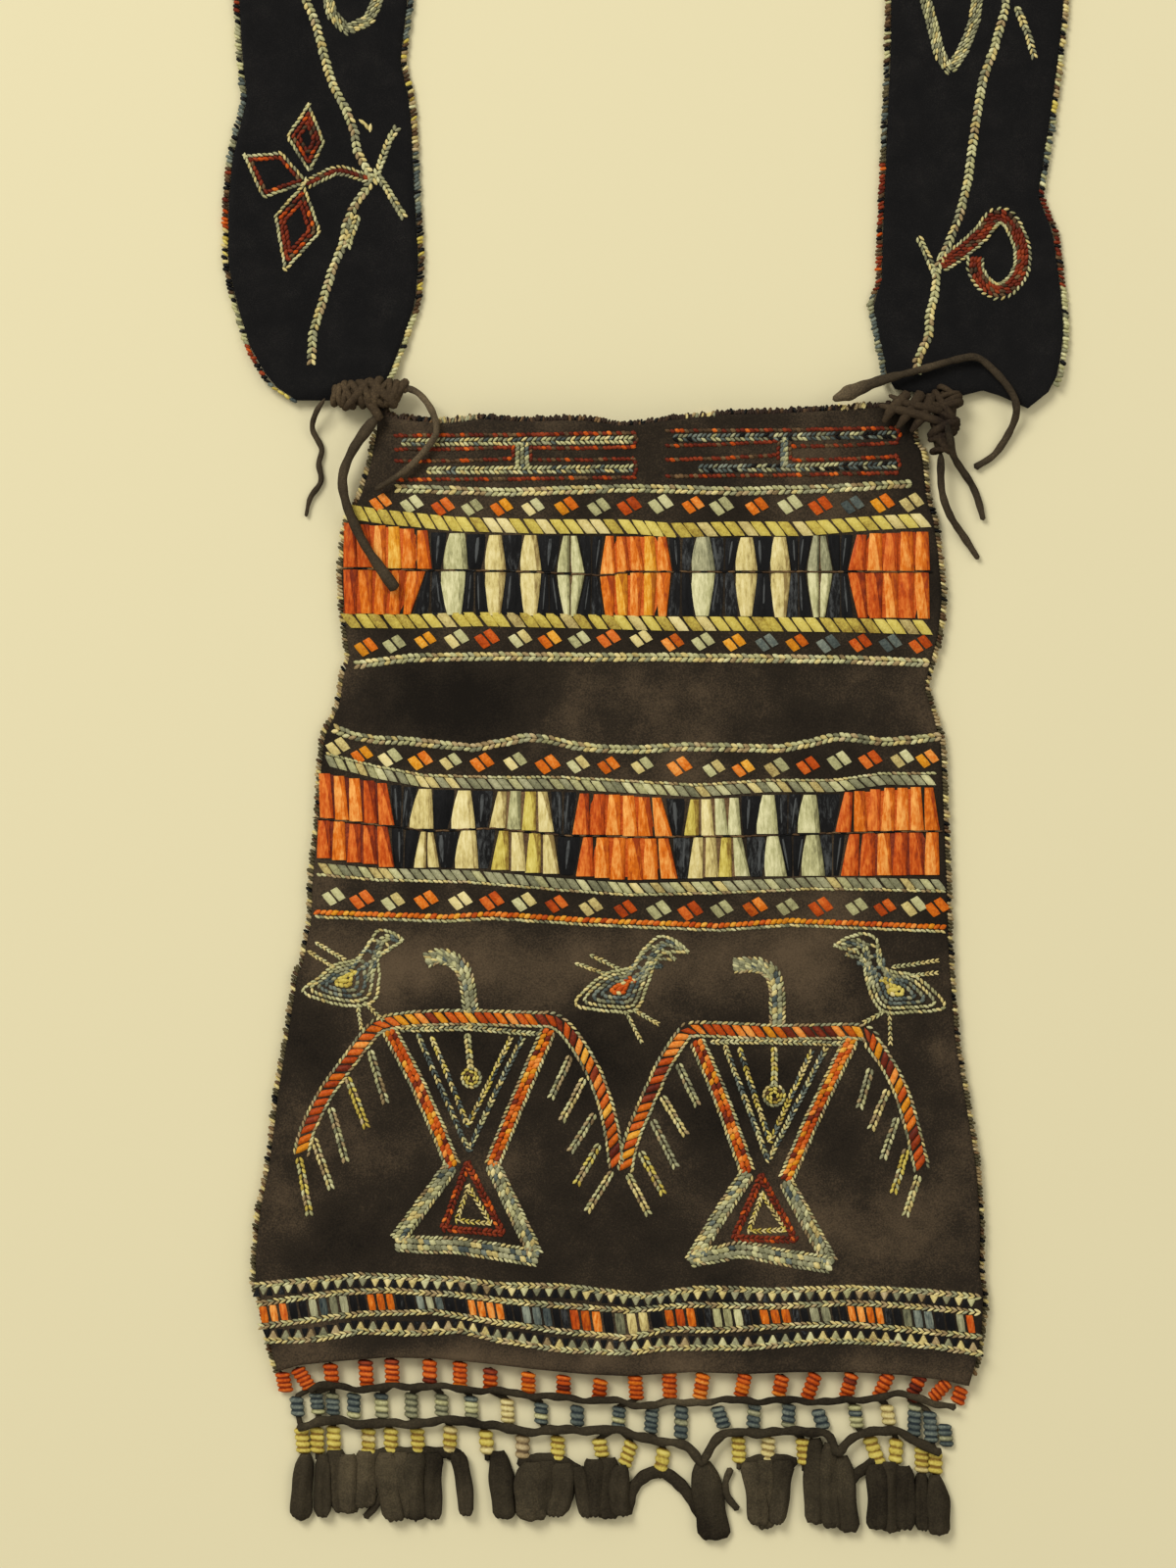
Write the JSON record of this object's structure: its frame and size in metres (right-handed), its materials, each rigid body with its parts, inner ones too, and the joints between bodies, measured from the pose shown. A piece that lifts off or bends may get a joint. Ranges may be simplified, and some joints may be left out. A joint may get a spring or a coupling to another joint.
{
  "type": "quilled pouch",
  "caption": "Dark hide shoulder pouch with quilled bands, spread-winged birds, a wrapped thong fringe and a folded black cloth strap.",
  "frame": {"origin": "centre of the back panel's outer face, on the surface that the pouch lies on", "axes": "+Z out of the quilled front, +Y towards the strap, +X to the right of someone facing the front"},
  "size_m": [0.2532, 0.6498, 0.0122],
  "materials": {
    "dyed_hide": "matt",
    "thong_hide": "matt",
    "wool_cloth": "matt",
    "quill": "satin"
  },
  "bodies": {
    "root": {"back_panel": "dyed_hide", "bars_left": "quill", "bars_right": "quill", "bird_left": "quill", "bird_left_red_triangle": "quill", "bird_left_yellow_triangle": "quill", "bird_right": "quill", "bird_right_red_triangle": "quill", "bird_right_yellow_triangle": "quill", "border_blocks": "quill", "border_teeth_lower": "quill", "border_teeth_upper": "quill", "cross_thong_lower": "thong_hide", "cross_thong_upper": "thong_hide", "edging_left": "quill", "edging_right": "quill", "folds_lower_base": "quill", "folds_lower_top": "quill", "folds_upper_base": "quill", "folds_upper_top": "quill", "fringe": "thong_hide", "front_panel": "dyed_hide", "knot_left": "thong_hide", "knot_right": "thong_hide", "lane_braid_lower": "quill", "lane_braid_upper": "quill", "lane_lower_start": "quill", "lane_mouth": "quill", "lane_red_white": "quill", "lane_upper_end": "quill", "lane_yellow_lower": "quill", "lane_yellow_upper": "quill", "mouth_edging_back": "quill", "mouth_edging_front": "quill", "small_bird_left": "quill", "small_bird_middle": "quill", "small_bird_right": "quill", "strap": "wool_cloth", "strap_edging_inner": "quill", "strap_edging_outer": "quill", "tie_left_loop": "thong_hide", "tie_left_thick": "thong_hide", "tie_left_thin": "thong_hide", "tie_right_long": "thong_hide", "tie_right_over": "thong_hide", "tie_right_short": "thong_hide", "vine_left": "quill", "vine_left_leaf": "quill", "vine_right": "quill", "vine_right_leaf": "quill"}
  },
  "joints": []
}
